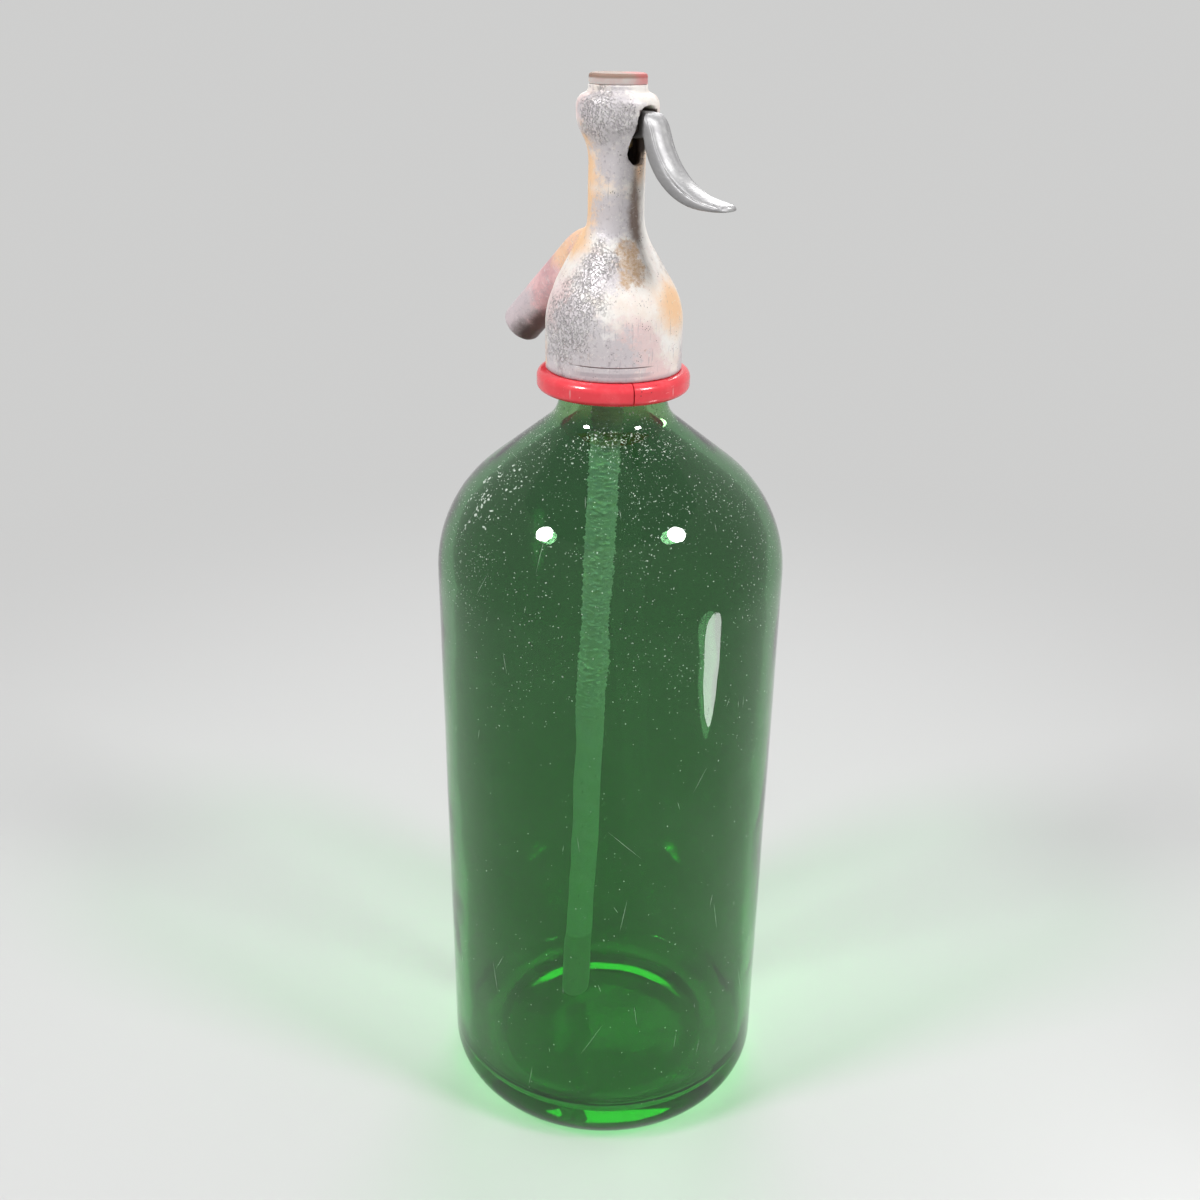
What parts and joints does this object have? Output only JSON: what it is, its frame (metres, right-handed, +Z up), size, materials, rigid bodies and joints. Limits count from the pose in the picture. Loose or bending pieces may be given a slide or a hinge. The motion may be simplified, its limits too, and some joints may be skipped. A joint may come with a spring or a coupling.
{
  "type": "soda siphon",
  "caption": "Refillable glass soda siphon with a lever-operated lift valve, side spout, dip tube and split threaded collar under a bell-shaped metal head.",
  "frame": {"origin": "centre of the bottle's base, on the plane that it stands on", "axes": "+Z up along the bottle's axis, +X towards the lever's tip, -X towards the spout's mouth"},
  "size_m": [0.1, 0.1, 0.311],
  "materials": {
    "bottle_glass": "thick bottle-green glass, scuffed",
    "collar_red": "glossy moulded red",
    "head_enamel": "worn cream enamel on cast metal",
    "spout_enamel": "faded mauve enamel on metal tube",
    "cap_rose": "faded rose plastic",
    "lever_metal": "dull worn pewter grey",
    "steel": "turned",
    "spring_steel": "drawn wire",
    "seal_rubber": "moulded",
    "seal_fibre": "pressed fibre",
    "brass": "turned",
    "tube_plastic": "translucent extruded tube"
  },
  "bodies": {
    "siphon": {"glass_bottle": "bottle_glass", "collar_half_rear": "collar_red", "collar_half_front": "collar_red", "head_casting": "head_enamel", "spout_tube": "spout_enamel", "top_cap": "cap_rose", "mouth_gasket": "seal_rubber", "tube_nut": "brass", "tube_bush": "seal_rubber", "dip_tube": "tube_plastic", "seat_washer": "seal_fibre", "valve_seat": "brass", "packing_washer": "brass", "stem_packing": "seal_fibre", "gland_nut": "brass", "lever_pin": "steel", "stem_spring": "spring_steel"},
    "lever": {"lever": "lever_metal"},
    "valve": {"valve_stem": "brass", "washer_cup": "brass", "valve_washer": "seal_rubber", "washer_screw": "brass"}
  },
  "joints": [
    {"name": "lever_pivot", "type": "hinge", "parent": "siphon", "child": "lever", "pos_m": [0.007, 0, 0.29847], "axis": [0, 1, 0], "range_deg": [0, 18], "stiffness_Nm_per_rad": 0.6, "springref_deg": -8.59},
    {"name": "valve_lift", "type": "slide", "parent": "siphon", "child": "valve", "axis": [0, 0, 1], "range_m": [0, 0.0022], "deforming": ["stem_spring"]}
  ],
  "couplings": [
    {"joint": "valve_lift", "follows": "lever_pivot", "m_per_rad": 0.00685}
  ]
}
